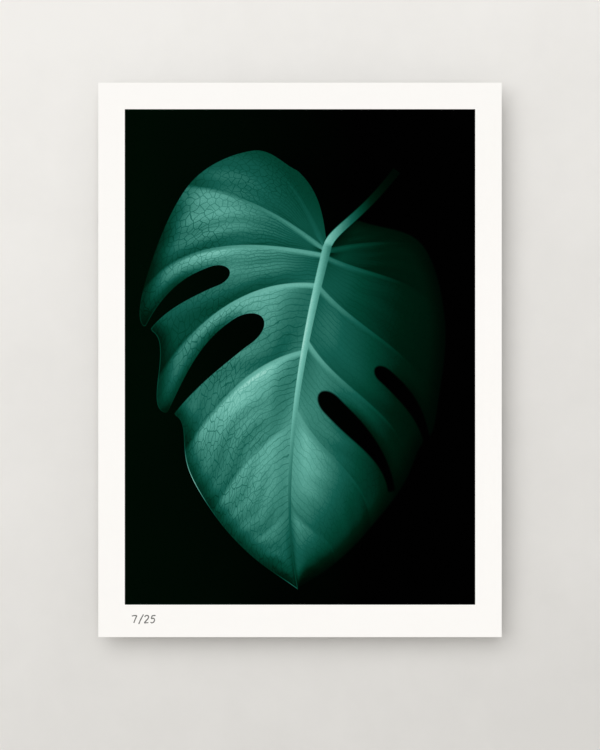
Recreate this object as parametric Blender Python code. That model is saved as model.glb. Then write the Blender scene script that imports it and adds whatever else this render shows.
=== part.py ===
"""Wall-hung art print: a heavy sheet bonded to a rigid board, held off the wall by a hidden sub-frame.

Units are metres and +Z is up. The sheet faces -Y, the wall is on the +Y side and +X is to the right
of someone looking at the print. The origin lies on the underside of the top rail, midway along it and
midway through its depth, which is where the wall pegs carry the print.

From front to back the pieces are the sheet, the board, four strips of foam tape, four mitred rails of
aluminium box tube with a moulded corner key in each corner, two grub screws to a rail, and four pads
that rest on the wall. Touching pieces keep a gap of GAP.
"""
import math

import bmesh
import bpy
from mathutils import Matrix, Vector

# Clearance between pieces that touch.
GAP = 0.0003

# The printed sheet: an A3 picture, 297 x 420 mm, with its borders.
PICTURE_WIDTH = 0.297
PICTURE_HEIGHT = 0.420
SIDE_BORDER = 0.0225
TOP_BORDER = 0.0225
BOTTOM_BORDER = 0.0275
SHEET_WIDTH = PICTURE_WIDTH + 2 * SIDE_BORDER
SHEET_HEIGHT = PICTURE_HEIGHT + TOP_BORDER + BOTTOM_BORDER
SHEET_THICKNESS = 0.0005
BOARD_THICKNESS = 0.003

# The sub-frame of mitred box tube.
FRAME_INSET = 0.045
FRAME_WIDTH = SHEET_WIDTH - 2 * FRAME_INSET
FRAME_HEIGHT = SHEET_HEIGHT - 2 * FRAME_INSET
RAIL_WIDTH = 0.018
RAIL_DEPTH = 0.012
RAIL_WALL = 0.0014
RAIL_OUTER_RADIUS = 0.0010
RAIL_INNER_RADIUS = 0.0004
CORNER_STEPS = 3

# Foam tape between the rails and the board.
TAPE_WIDTH = 0.012
TAPE_THICKNESS = 0.0011

# Corner keys, and the grub screws that lock them.
KEY_LEG = 0.042
KEY_BARBS = 5
KEY_BARB_HEIGHT = 0.0005
KEY_TIP_CHAMFER = 0.0015
SCREW_RADIUS = 0.0020
SCREW_SETBACK = 0.030
SCREW_CHAMFER = 0.0004
SOCKET_ACROSS_FLATS = 0.0020
SOCKET_DEPTH = 0.0022
SOCKET_CONE = 0.0004
ACCESS_HOLE_RADIUS = 0.0027
ROUND_STEPS = 24
SHARP_ANGLE = 35
OVERCUT = 0.001

# Pads between the sub-frame and the wall.
PAD_RADIUS = 0.0070
PAD_THICKNESS = 0.0030
PAD_EDGE_RADIUS = 0.0010
PAD_SETBACK = 0.062

# Depths of the layers, counted from the rails' middle towards the front (-Y).
RAIL_FRONT = -RAIL_DEPTH / 2
TAPE_MIDDLE = RAIL_FRONT - GAP - TAPE_THICKNESS / 2
BOARD_MIDDLE = RAIL_FRONT - 2 * GAP - TAPE_THICKNESS - BOARD_THICKNESS / 2
SHEET_MIDDLE = BOARD_MIDDLE - BOARD_THICKNESS / 2 - GAP - SHEET_THICKNESS / 2
RAIL_BACK = RAIL_DEPTH / 2

# Heights: the top rail's underside is at zero.
FRAME_TOP = RAIL_WIDTH
FRAME_CENTRE = FRAME_TOP - FRAME_HEIGHT / 2
SHEET_CENTRE = FRAME_TOP + FRAME_INSET - SHEET_HEIGHT / 2

# Name: (linear colour, roughness, metallic).
FINISHES = {
    "cotton_paper": ((0.93, 0.92, 0.88, 1.0), 0.90, 0.0),
    "composite_board": ((0.80, 0.80, 0.79, 1.0), 0.45, 0.6),
    "foam_tape": ((0.035, 0.036, 0.038, 1.0), 0.85, 0.0),
    "mill_aluminium": ((0.76, 0.77, 0.78, 1.0), 0.34, 1.0),
    "nylon": ((0.045, 0.047, 0.050, 1.0), 0.48, 0.0),
    "zinc_plated_steel": ((0.62, 0.63, 0.62, 1.0), 0.30, 1.0),
    "rubber": ((0.030, 0.031, 0.032, 1.0), 0.72, 0.0),
}


def clear_scene():
    """Remove every object that the scene holds."""
    for old in list(bpy.data.objects):
        bpy.data.objects.remove(old, do_unlink=True)


def finish(name):
    """Return the material of that name, made on first use."""
    material = bpy.data.materials.get(name)
    if material is None:
        colour, roughness, metallic = FINISHES[name]
        material = bpy.data.materials.new(name)
        material.use_nodes = True
        shader = material.node_tree.nodes["Principled BSDF"]
        shader.inputs["Base Color"].default_value = colour
        shader.inputs["Roughness"].default_value = roughness
        shader.inputs["Metallic"].default_value = metallic
    return material


def place(name, data, parent, location):
    """Link a named object, a sub-part with its mesh or an empty with none, under its parent."""
    item = bpy.data.objects.new(name, data)
    bpy.context.scene.collection.objects.link(item)
    item.parent = parent
    item.location = location
    return item


def to_mesh(bm, name, material_name):
    """Close off a bmesh as a mesh with outward faces and one material."""
    bmesh.ops.recalc_face_normals(bm, faces=bm.faces)
    mesh = bpy.data.meshes.new(name)
    bm.to_mesh(mesh)
    bm.free()
    mesh.materials.append(finish(material_name))
    return mesh


def slab_mesh(name, size, material_name):
    """A rectangular slab centred on its own origin."""
    bm = bmesh.new()
    bmesh.ops.create_cube(bm, size=1.0, matrix=Matrix.Diagonal((*size, 1.0)))
    return to_mesh(bm, name, material_name)


def rounded_section(width, depth, radius):
    """Points round a box tube's section, as (across, through) pairs, with rounded corners."""
    points = []
    quarter = math.pi / 2
    centres = [(1, 1), (-1, 1), (-1, -1), (1, -1)]
    for index, (side, face) in enumerate(centres):
        middle = Vector((side * (width / 2 - radius), face * (depth / 2 - radius)))
        for step in range(CORNER_STEPS + 1):
            angle = quarter * (index + step / CORNER_STEPS)
            points.append(middle + radius * Vector((math.cos(angle), math.sin(angle))))
    return points


def rail_mesh(name, length):
    """A mitred box tube along X whose longer, outer side faces +Z, centred across its width and depth.

    The mitres run at 45 degrees, so each point's end moves in by as much as it lies below the outer side.
    """
    half_length = length / 2 - GAP / math.sqrt(2)
    bm = bmesh.new()
    outer = rounded_section(RAIL_WIDTH, RAIL_DEPTH, RAIL_OUTER_RADIUS)
    inner = rounded_section(RAIL_WIDTH - 2 * RAIL_WALL, RAIL_DEPTH - 2 * RAIL_WALL, RAIL_INNER_RADIUS)
    rings = {}
    for key, section in (("outer", outer), ("inner", inner)):
        for end in (-1, 1):
            ring = []
            for across, through in section:
                reach = half_length - (RAIL_WIDTH / 2 - across)
                ring.append(bm.verts.new((end * reach, through, across)))
            rings[key, end] = ring
    count = len(outer)
    walls = [
        (rings["outer", -1], rings["outer", 1]),
        (rings["inner", 1], rings["inner", -1]),
        (rings["inner", -1], rings["outer", -1]),
        (rings["outer", 1], rings["inner", 1]),
    ]
    for first, second in walls:
        for index in range(count):
            following = (index + 1) % count
            bm.faces.new((first[index], first[following], second[following], second[index]))
    return to_mesh(bm, name, "mill_aluminium")


def key_outline():
    """The corner key's L-shaped outline in X and Z, from the rails' outer corner at zero.

    One leg runs along -X and the other along -Z. Barbs step along the legs' outer and inner sides.
    """
    near = RAIL_WALL + GAP
    far = RAIL_WIDTH - RAIL_WALL - GAP
    first_barb = RAIL_WIDTH + 0.002
    pitch = (KEY_LEG - KEY_TIP_CHAMFER - first_barb) / KEY_BARBS
    leg = [(near + KEY_TIP_CHAMFER, near), (first_barb, near)]
    for barb in range(KEY_BARBS):
        start = first_barb + barb * pitch
        leg.append((start, near + KEY_BARB_HEIGHT))
        leg.append((start + pitch, near))
    leg.append((KEY_LEG, near + KEY_TIP_CHAMFER))
    leg.append((KEY_LEG, far - KEY_TIP_CHAMFER))
    for barb in reversed(range(KEY_BARBS)):
        start = first_barb + barb * pitch
        leg.append((start + pitch, far))
        leg.append((start, far - KEY_BARB_HEIGHT))
    leg.append((first_barb, far))
    first_leg = [(-along, -across) for along, across in leg]
    second_leg = [(-across, -along) for along, across in reversed(leg)]
    return first_leg + [(-far, -far)] + second_leg


def key_mesh():
    """The corner key: its outline given the depth that fits inside the tube."""
    half_depth = RAIL_DEPTH / 2 - RAIL_WALL - GAP
    bm = bmesh.new()
    outline = [bm.verts.new((x, -half_depth, z)) for x, z in key_outline()]
    face = bm.faces.new(outline)
    grown = bmesh.ops.extrude_face_region(bm, geom=[face])
    moved = [item for item in grown["geom"] if isinstance(item, bmesh.types.BMVert)]
    bmesh.ops.translate(bm, verts=moved, vec=(0.0, 2 * half_depth, 0.0))
    return to_mesh(bm, "corner_key", "nylon")


def circle(radius):
    """Points round a circle, as (x, z) pairs."""
    angles = (2 * math.pi * step / ROUND_STEPS for step in range(ROUND_STEPS))
    return [(radius * math.cos(angle), radius * math.sin(angle)) for angle in angles]


def hexagon(across_flats):
    """Points round a hexagon in the same directions as a circle's, as (x, z) pairs."""
    sector = math.pi / 3
    points = []
    for step in range(ROUND_STEPS):
        angle = 2 * math.pi * step / ROUND_STEPS
        off_flat = (angle % sector) - sector / 2
        radius = across_flats / 2 / math.cos(off_flat)
        points.append((radius * math.cos(angle), radius * math.sin(angle)))
    return points


def ringed_mesh(name, rings, material_name, tip=None):
    """A solid about the Y axis, skinned over (outline, y) rings and closed flat or by a tip at y = tip."""
    bm = bmesh.new()
    loops = [[bm.verts.new((x, y, z)) for x, z in outline] for outline, y in rings]
    for first, second in zip(loops, loops[1:]):
        for index in range(ROUND_STEPS):
            following = (index + 1) % ROUND_STEPS
            bm.faces.new((first[index], first[following], second[following], second[index]))
    bm.faces.new(loops[0])
    if tip is None:
        bm.faces.new(loops[-1])
    else:
        centre = bm.verts.new((0.0, tip, 0.0))
        for first, second in zip(loops[-1], loops[-1][1:] + loops[-1][:1]):
            bm.faces.new((first, second, centre))
    mesh = to_mesh(bm, name, material_name)
    mesh.shade_smooth()
    mesh.set_sharp_from_angle(angle=math.radians(SHARP_ANGLE))
    return mesh


def screw_mesh():
    """A hex-socket grub screw: flat point at the tube's front wall, socket flush with the rail's back."""
    point = -RAIL_DEPTH / 2 + RAIL_WALL + GAP
    head = RAIL_BACK
    rings = [
        (circle(SCREW_RADIUS - SCREW_CHAMFER), point),
        (circle(SCREW_RADIUS), point + SCREW_CHAMFER),
        (circle(SCREW_RADIUS), head - SCREW_CHAMFER),
        (circle(SCREW_RADIUS - SCREW_CHAMFER), head),
        (hexagon(SOCKET_ACROSS_FLATS), head),
        (hexagon(SOCKET_ACROSS_FLATS), head - SOCKET_DEPTH),
    ]
    return ringed_mesh("grub_screw", rings, "zinc_plated_steel", tip=head - SOCKET_DEPTH - SOCKET_CONE)


def pad_mesh():
    """A round pad, centred through its thickness, with its wall-side edge rounded over."""
    rings = [(circle(PAD_RADIUS), -PAD_THICKNESS / 2)]
    for step in range(CORNER_STEPS + 1):
        angle = math.pi / 2 * step / CORNER_STEPS
        radius = PAD_RADIUS - PAD_EDGE_RADIUS * (1 - math.cos(angle))
        back = PAD_THICKNESS / 2 - PAD_EDGE_RADIUS * (1 - math.sin(angle))
        rings.append((circle(radius), back))
    return ringed_mesh("wall_pad", rings, "rubber")


def hole_cutter(name, radius, near, far, parent, location):
    """A hidden cylinder along Y, between y = near and y = far, that a Boolean takes away."""
    mesh = ringed_mesh(name, [(circle(radius), near), (circle(radius), far)], "zinc_plated_steel")
    cutter = place(name, mesh, parent, location)
    cutter.hide_render = True
    cutter.display_type = "WIRE"
    return cutter


def drill(part, cutter):
    """Take a cutter's shape out of a part."""
    modifier = part.modifiers.new(cutter.name, "BOOLEAN")
    modifier.operation = "DIFFERENCE"
    modifier.solver = "EXACT"
    modifier.object = cutter


class Side:
    """One side of the sub-frame, in a frame of its own whose +Z points to the outside.

    half_length is half the side's outer length, and reach is how far its outer side lies from the
    sub-frame's centre. The near end is towards the side's own -X, and the far end towards its +X. An
    upright side also carries wall pads.
    """

    def __init__(self, name, turn, upright, near_end, far_end, far_corner):
        self.name = name
        self.turn = turn
        self.upright = upright
        self.half_length = (FRAME_HEIGHT if upright else FRAME_WIDTH) / 2
        self.reach = (FRAME_WIDTH if upright else FRAME_HEIGHT) / 2
        self.ends = {near_end: -1, far_end: 1}
        self.far_corner = far_corner

    def build(self, root):
        """Make the side's rail, tape, screws, pads and the key in its far corner."""
        centre = place(f"{self.name}_side", None, root, (0.0, 0.0, FRAME_CENTRE))
        centre.rotation_euler = (0.0, self.turn, 0.0)
        midline = self.reach - RAIL_WIDTH / 2
        rail_length = 2 * self.half_length
        rail = place(f"{self.name}_rail", rail_mesh("rail", rail_length), centre, (0.0, 0.0, midline))
        self.add_tape(centre, midline)
        for end, sign in self.ends.items():
            spot = (sign * (self.half_length - SCREW_SETBACK), 0.0, midline)
            place(f"{self.name}_rail_screw_{end}", screw_mesh(), centre, spot)
            wall_front = RAIL_BACK - RAIL_WALL
            hole = (f"{self.name}_hole_{end}", ACCESS_HOLE_RADIUS, wall_front - OVERCUT, RAIL_BACK + OVERCUT)
            drill(rail, hole_cutter(*hole, centre, spot))
            if self.upright:
                pad_y = RAIL_BACK + GAP + PAD_THICKNESS / 2
                seat = (sign * (self.half_length - PAD_SETBACK), pad_y, midline)
                place(f"wall_pad_{end}_{self.name}", pad_mesh(), centre, seat)
        self.add_key(centre)

    def add_tape(self, centre, midline):
        """Lay the foam tape along the rail's front; upright strips butt against the level ones."""
        margin = (RAIL_WIDTH - TAPE_WIDTH) / 2
        if self.upright:
            margin += TAPE_WIDTH + GAP
        size = (2 * (self.half_length - margin), TAPE_THICKNESS, TAPE_WIDTH)
        tape = slab_mesh("foam_tape", size, "foam_tape")
        place(f"{self.name}_foam_tape", tape, centre, (0.0, TAPE_MIDDLE, midline))

    def add_key(self, centre):
        """Fit the corner key at the far end, drilled for the screw of each of its two legs."""
        corner = Vector((self.half_length, 0.0, self.reach))
        key = place(f"corner_key_{self.far_corner}", key_mesh(), centre, corner)
        half_width = RAIL_WIDTH / 2
        for leg, (x, z) in enumerate(((SCREW_SETBACK, half_width), (half_width, SCREW_SETBACK))):
            hole = (f"{self.far_corner}_key_hole_{leg}", SCREW_RADIUS + GAP, -RAIL_DEPTH, RAIL_DEPTH)
            drill(key, hole_cutter(*hole, centre, corner - Vector((x, 0.0, z))))


def main():
    """Build the whole print under one empty."""
    clear_scene()
    root = place("art_print", None, None, (0.0, 0.0, 0.0))
    sheet = slab_mesh("print_sheet", (SHEET_WIDTH, SHEET_THICKNESS, SHEET_HEIGHT), "cotton_paper")
    place("print_sheet", sheet, root, (0.0, SHEET_MIDDLE, SHEET_CENTRE))
    board = slab_mesh("mount_board", (SHEET_WIDTH, BOARD_THICKNESS, SHEET_HEIGHT), "composite_board")
    place("mount_board", board, root, (0.0, BOARD_MIDDLE, SHEET_CENTRE))
    quarter = math.pi / 2
    sides = [
        Side("top", 0.0, False, "left", "right", "top_right"),
        Side("right", quarter, True, "upper", "lower", "bottom_right"),
        Side("bottom", 2 * quarter, False, "right", "left", "bottom_left"),
        Side("left", -quarter, True, "lower", "upper", "top_left"),
    ]
    for side in sides:
        side.build(root)


main()
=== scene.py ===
"""Looks of a wall-hung art print: a printed rag sheet on a rigid board, stood off the wall by rails.

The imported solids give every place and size. The classes below dress them or stand finer meshes in for
them: the sheet with its printed picture of a leaf, the lacquered composite board, and the hidden
sub-frame with its tape, rails, corner keys, grub screws and wall pads. All lengths are in metres,
except inside the printed leaf, whose drawing is laid out in millimetres from the picture's centre.
"""
from __future__ import annotations

import logging
import math
from dataclasses import dataclass, field
from enum import Enum
from functools import partial
from typing import Any, Callable

import bmesh
import bpy
import numpy as np
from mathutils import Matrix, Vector


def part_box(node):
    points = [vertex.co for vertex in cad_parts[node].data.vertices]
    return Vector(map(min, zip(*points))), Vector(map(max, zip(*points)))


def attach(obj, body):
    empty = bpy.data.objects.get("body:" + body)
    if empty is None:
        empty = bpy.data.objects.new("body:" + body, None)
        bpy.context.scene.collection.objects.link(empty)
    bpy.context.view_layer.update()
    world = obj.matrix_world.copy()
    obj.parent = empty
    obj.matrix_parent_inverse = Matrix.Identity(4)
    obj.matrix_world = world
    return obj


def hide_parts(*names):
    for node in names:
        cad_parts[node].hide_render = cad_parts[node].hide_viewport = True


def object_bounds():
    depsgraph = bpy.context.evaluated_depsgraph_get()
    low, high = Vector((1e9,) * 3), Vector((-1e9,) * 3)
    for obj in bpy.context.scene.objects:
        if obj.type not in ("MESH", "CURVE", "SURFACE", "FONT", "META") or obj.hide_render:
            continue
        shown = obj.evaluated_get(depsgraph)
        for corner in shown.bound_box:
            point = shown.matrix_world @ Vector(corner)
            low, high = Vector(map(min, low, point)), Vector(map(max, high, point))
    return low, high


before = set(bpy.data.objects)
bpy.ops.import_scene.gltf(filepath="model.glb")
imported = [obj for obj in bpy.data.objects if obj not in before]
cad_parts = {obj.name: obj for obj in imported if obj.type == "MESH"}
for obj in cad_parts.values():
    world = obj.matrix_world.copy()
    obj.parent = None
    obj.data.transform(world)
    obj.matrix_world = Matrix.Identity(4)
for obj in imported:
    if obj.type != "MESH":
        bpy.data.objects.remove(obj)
CAD_BOX = [list(corner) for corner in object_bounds()]

LOG = logging.getLogger("art_print")
ROOT = "root"
MM = 0.001

Material = bpy.types.Material
Mesh = bpy.types.Mesh
Piece = bpy.types.Object
Socket = bpy.types.NodeSocket
Tree = bpy.types.NodeTree
Fields = dict[str, np.ndarray]
NodeMaker = Callable[..., Socket]
Pair = tuple[float, float]
Triple = tuple[float, float, float]


# ---------------------------------------------------------------- helpers


def srgb(code: str) -> tuple[float, float, float, float]:
    """Turn an sRGB colour into the linear one that shaders use.

    Args:
        code: six hex digits, such as "5aa491".

    Returns:
        Linear red, green, blue and an alpha of one.
    """
    channels = [int(code[i:i + 2], 16) / 255 for i in (0, 2, 4)]
    linear = [c / 12.92 if c <= 0.04045 else ((c + 0.055) / 1.055) ** 2.4 for c in channels]
    return (*linear, 1.0)


def add_node(tree: Tree, kind: str, inputs: dict | None = None, out: int | str = 0,
             **settings: Any) -> Socket:
    """Add a node to a tree, with its settings, fixed values and links.

    Args:
        tree: the shader or geometry tree.
        kind: the node's type, such as "ShaderNodeMath".
        inputs: input name or index, to a fixed value or to another node's output.
        out: name or index of the output to hand back.
        settings: properties of the node itself, such as operation="ADD".

    Returns:
        The asked output, or the node's first input where it has no output.
    """
    made = tree.nodes.new(kind)
    for name, value in settings.items():
        setattr(made, name, value)
    for key, value in (inputs or {}).items():
        if isinstance(value, bpy.types.NodeSocket):
            tree.links.new(value, made.inputs[key])
        else:
            made.inputs[key].default_value = value
    return made.outputs[out] if made.outputs else made.inputs[0]


def finish_piece(mesh: Mesh, material: Material | None,
                 stands_for: tuple[str, ...] = ()) -> Piece:
    """Link a finished mesh as a piece of the print.

    Args:
        mesh: the mesh, in the frame's own coordinates; its name becomes the piece's name.
        material: its material, or None if the mesh already has some.
        stands_for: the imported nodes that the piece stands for.

    Returns:
        The piece's object.
    """
    piece = bpy.data.objects.new(mesh.name, mesh)
    bpy.context.scene.collection.objects.link(piece)
    if material is not None:
        mesh.materials.clear()
        mesh.materials.append(material)
    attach(piece, ROOT)
    if stands_for:
        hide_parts(*stands_for)
    LOG.info("%s: %d faces", piece.name, len(mesh.polygons))
    return piece


def to_mesh(bm: bmesh.types.BMesh, name: str, sharp_degrees: float = 35.0) -> Mesh:
    """Turn a bmesh into a mesh that faces outwards, and free it.

    Args:
        bm: the closed shape.
        name: the mesh's name.
        sharp_degrees: the angle past which an edge isn't shaded smooth.

    Returns:
        The mesh.
    """
    bmesh.ops.recalc_face_normals(bm, faces=bm.faces)
    mesh = bpy.data.meshes.new(name)
    bm.to_mesh(mesh)
    bm.free()
    mesh.shade_smooth()
    mesh.set_sharp_from_angle(angle=math.radians(sharp_degrees))
    return mesh


def eased_slab(name: str, low: Vector, high: Vector, ease: float) -> Mesh:
    """Make a rectangular slab whose edges are eased by a two-step round.

    Args:
        name: the mesh's name.
        low: its lowest corner.
        high: its highest corner.
        ease: the round's radius.

    Returns:
        The mesh, with its broad faces shaded flat.
    """
    bm = bmesh.new()
    bmesh.ops.create_cube(bm, size=1.0)
    for vert in bm.verts:
        vert.co = Vector(low[i] + (high[i] - low[i]) * (vert.co[i] + 0.5) for i in range(3))
    bmesh.ops.bevel(bm, geom=list(bm.edges), offset=ease, segments=2, affect="EDGES", profile=0.5)
    return to_mesh(bm, name, sharp_degrees=20.0)


def lofted(name: str, rings: list[list[Vector]]) -> Mesh:
    """Make a closed solid through rings of points.

    Args:
        name: the mesh's name.
        rings: from one end to the other, with as many points in each, in step.

    Returns:
        The mesh, closed flat at both ends.
    """
    bm = bmesh.new()
    loops = [[bm.verts.new(point) for point in ring] for ring in rings]
    for first, second in zip(loops, loops[1:]):
        for a, b, c, d in zip(first, first[1:] + first[:1], second[1:] + second[:1], second):
            bm.faces.new((a, b, c, d))
    bm.faces.new(loops[0])
    bm.faces.new(loops[-1])
    return to_mesh(bm, name)


def turned(name: str, rings: list[tuple[float, float, int]], steps: int = 48) -> Mesh:
    """Make a closed solid about the Y axis.

    Args:
        name: the mesh's name.
        rings: radius, y and sides of each ring. Sides is 0 for a round ring, or how many flats it has,
            and its radius is then measured to the flats.
        steps: points round each ring.

    Returns:
        The mesh, closed flat at both ends.
    """
    points = []
    for radius, y, sides in rings:
        angles = [2 * math.pi * step / steps for step in range(steps)]
        sector = 2 * math.pi / sides if sides else 1.0
        reach = [radius / math.cos(a % sector - sector / 2) if sides else radius for a in angles]
        points.append([Vector((r * math.cos(a), y, r * math.sin(a))) for r, a in zip(reach, angles)])
    return lofted(name, points)


def new_geometry_tree(name: str, sizes: dict[str, float]) -> tuple[Tree, dict[str, Socket]]:
    """Start a geometry tree with a geometry input and one named input for each size.

    Args:
        name: the tree's name.
        sizes: input names and their values.

    Returns:
        The tree, and its inputs' sockets by name.
    """
    tree = bpy.data.node_groups.new(name, "GeometryNodeTree")
    tree.interface.new_socket(name="Geometry", in_out="OUTPUT", socket_type="NodeSocketGeometry")
    tree.interface.new_socket(name="Geometry", in_out="INPUT", socket_type="NodeSocketGeometry")
    for size in sizes:
        tree.interface.new_socket(name=size, in_out="INPUT", socket_type="NodeSocketFloat")
    first = add_node(tree, "NodeGroupInput").node
    return tree, {socket.name: socket for socket in first.outputs if socket.name}


def grow(mesh: Mesh, tree: Tree, made: Socket, material: Material, sizes: dict[str, float]) -> Mesh:
    """End a geometry tree and run it on a mesh.

    Args:
        mesh: the tree's geometry input; its name is handed on.
        tree: the geometry tree.
        made: the tree's last geometry, whose instances are made real.
        material: what the result is made of.
        sizes: values of the tree's named inputs.

    Returns:
        The plain mesh that the tree makes.
    """
    real = add_node(tree, "GeometryNodeRealizeInstances", {0: made})
    dressed = add_node(tree, "GeometryNodeSetMaterial", {"Geometry": real, "Material": material})
    add_node(tree, "NodeGroupOutput", {0: dressed})
    seed = bpy.data.objects.new(mesh.name, mesh)
    modifier = seed.modifiers.new(tree.name, "NODES")
    modifier.node_group = tree
    for item in tree.interface.items_tree:
        if item.name in sizes:
            modifier[item.identifier] = sizes[item.name]
    bpy.context.scene.collection.objects.link(seed)
    evaluated = seed.evaluated_get(bpy.context.evaluated_depsgraph_get())
    grown = bpy.data.meshes.new_from_object(evaluated)
    name = mesh.name
    bpy.data.objects.remove(seed)
    bpy.data.meshes.remove(mesh)
    grown.name = name
    return grown


# ---------------------------------------------------------------- the printed leaf, in millimetres


@dataclass(frozen=True)
class SideVein:
    """A side vein: its root as a share of the midrib, its end on the margin, its headings, its strength."""

    root: float
    end: Pair
    leave: float
    arrive: float
    strength: float = 1.0


@dataclass(frozen=True)
class Split:
    """A split in the leaf, between side veins number panel - 0.5 and panel + 0.5.

    It runs from start to stop, as shares of the way from midrib to margin, and drifts by lean side
    veins on the way. It is width wide just past its round inner end and mouth wide at its outer end.
    The lobe before it reaches hook further out than the one after it.
    """

    panel: float
    start: float
    stop: float
    width: float
    mouth: float
    lean: float = 0.0
    hook: float = 0.0


@dataclass(frozen=True)
class LightPool:
    """A soft pool of light on the drawn leaf."""

    strength: float
    centre: Pair
    reach: Pair

    def at(self, points: np.ndarray) -> np.ndarray:
        """Return the pool's light at points of shape (..., 2)."""
        away = (points - np.array(self.centre)) / np.array(self.reach)
        return self.strength * np.exp(-(away ** 2).sum(axis=-1))


Pools = tuple[LightPool, ...]


def light_at(pools: Pools, points: np.ndarray) -> np.ndarray:
    """Return the light of several pools together at points of shape (..., 2)."""
    return sum((pool.at(points) for pool in pools), np.zeros(points.shape[:-1]))


def through(values: np.ndarray, at: np.ndarray) -> np.ndarray:
    """Read a smooth curve through evenly spaced values.

    Args:
        values: the values at 0, 1, 2 and so on, one row each.
        at: places to read, of any shape.

    Returns:
        The curve's values, with the shape of at and one more axis for the columns.
    """
    slopes = np.gradient(values, axis=0)
    first = np.clip(np.floor(at).astype(int), 0, len(values) - 2)
    f = (at - first)[..., None]
    start, end = values[first], values[first + 1]
    turn = (start - end) * 2 + slopes[first] + slopes[first + 1]
    bend = (end - start) * 3 - 2 * slopes[first] - slopes[first + 1]
    return ((turn * f + bend) * f + slopes[first]) * f + start


def bezier(corners: list[np.ndarray], t: np.ndarray) -> np.ndarray:
    """Read a cubic Bezier curve.

    Args:
        corners: its four corner points, of shape (..., 2).
        t: how far along the curve, from 0 to 1.

    Returns:
        The points at t.
    """
    a, b, c, d = corners
    t = t[..., None]
    return (1 - t) ** 3 * a + 3 * t * (1 - t) ** 2 * b + 3 * t ** 2 * (1 - t) * c + t ** 3 * d


def smooth_step(low: float, high: float, value: np.ndarray) -> np.ndarray:
    """Rise smoothly from 0 at low to 1 at high."""
    share = np.clip((value - low) / (high - low), 0, 1)
    return share * share * (3 - 2 * share)


def line_distance(points: np.ndarray, line: np.ndarray) -> np.ndarray:
    """Measure how far points are from an open line.

    Args:
        points: n points, of shape (n, 2).
        line: the line's points, of shape (m, 2).

    Returns:
        The n distances.
    """
    nearest = np.full(len(points), np.inf)
    for origin, step in zip(line[:-1], np.diff(line, axis=0)):
        away = points - origin
        share = np.clip(away @ step / max(step @ step, 1e-12), 0, 1)
        nearest = np.minimum(nearest, np.linalg.norm(away - share[:, None] * step, axis=1))
    return nearest


def outside_distance(points: np.ndarray, outline: np.ndarray) -> np.ndarray:
    """Measure how far points are outside a closed outline.

    Args:
        points: n points, of shape (n, 2).
        outline: the outline's points, without its first one again.

    Returns:
        The n distances, negative inside the outline.
    """
    closed = np.vstack([outline, outline[:1]])
    x, y = points[:, 0], points[:, 1]
    inside = np.zeros(len(points), bool)
    for (x0, y0), (x1, y1) in zip(closed[:-1], closed[1:]):
        if y0 != y1:
            inside ^= ((y0 > y) != (y1 > y)) & (x < (x1 - x0) * (y - y0) / (y1 - y0) + x0)
    return np.where(inside, -1, 1) * line_distance(points, closed)


def rounded_least(first: np.ndarray, second: np.ndarray, blend: float) -> np.ndarray:
    """Return the lesser of two distances, with the corner between them rounded over a length of blend."""
    share = np.clip(0.5 + 0.5 * (second - first) / blend, 0, 1)
    return second + (first - second) * share - blend * share * (1 - share)


@dataclass(frozen=True)
class Midrib:
    """The leaf's main vein, from the stalk's joint to the tip, and the stalk that runs on above it."""

    corners: tuple = ((23.0, 93.0), (7.0, 30.0), (-22.0, -96.0), (-2.0, -197.0))
    stalk: tuple = ((23.0, 93.0), (27.0, 108.0), (50.0, 116.0), (82.0, 158.0))
    width_at_joint: float = 3.9
    width_at_tip: float = 0.4
    stalk_width: float = 3.1
    rib_spread: float = 0.74
    stalk_spread: float = 1.14
    stalk_light: LightPool = LightPool(0.92, (20.0, 90.0), (36.0, 40.0))
    rib_steps: int = 160
    stalk_steps: int = 90
    across_steps: int = 11
    inland_mm: float = 9.0
    open_spacing_mm: float = 30.0

    def point(self, share: np.ndarray) -> np.ndarray:
        """Return points at shares of the midrib from the joint."""
        return bezier([np.array(corner) for corner in self.corners], share)

    def half_width(self, share: np.ndarray) -> np.ndarray:
        """Return half the midrib's width at shares of its length."""
        return self.width_at_tip + (self.width_at_joint - self.width_at_tip) * (1 - share) ** 1.1

    def fields(self, left: Pools, right: Pools) -> tuple[np.ndarray, Fields]:
        """Lay out the midrib and the stalk as one tapered strip, which covers the halves' seam.

        Args:
            left: pools of light on the veins left of the midrib.
            right: pools of light on the veins right of it.

        Returns:
            Points of shape (rows, columns, 2), and what the ink reads at each point.
        """
        down, up = np.linspace(1, 0, self.rib_steps), np.linspace(0, 1, self.stalk_steps)[1:]
        line = np.vstack([self.point(down), bezier([np.array(c) for c in self.stalk], up)])
        way = np.gradient(line, axis=0)
        way /= np.linalg.norm(way, axis=1)[:, None]
        side = np.stack([way[:, 1], -way[:, 0]], axis=1)
        onto_stalk = np.concatenate([np.zeros(len(down)), smooth_step(0, 0.12, up)])
        stalk = self.width_at_joint + (self.stalk_width - self.width_at_joint) * up
        half = np.concatenate([self.half_width(down), stalk])
        spread = self.rib_spread + (self.stalk_spread - self.rib_spread) * onto_stalk
        rib = spread[:, None] * np.linspace(-1, 1, self.across_steps)
        points = line[:, None] + (half[:, None] * rib)[..., None] * side[:, None]
        mix = smooth_step(-0.8, 0.8, rib)
        light = (light_at(left, points) * (1 - mix) + light_at(right, points) * mix)
        light = light * (1 - onto_stalk[:, None]) + self.stalk_light.at(points) * onto_stalk[:, None]
        full = np.ones(rib.shape)
        return points, {name: 0 * full for name in LeafInk.READ} | {
            "rib": rib, "vein_light": light, "sharp": full, "margin": self.inland_mm * full,
            "spacing": self.open_spacing_mm * full}


class Half(Enum):
    """The side of the midrib that a half of the leaf lies on, and the sign of places there."""

    LEFT = -1
    RIGHT = 1


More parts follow.
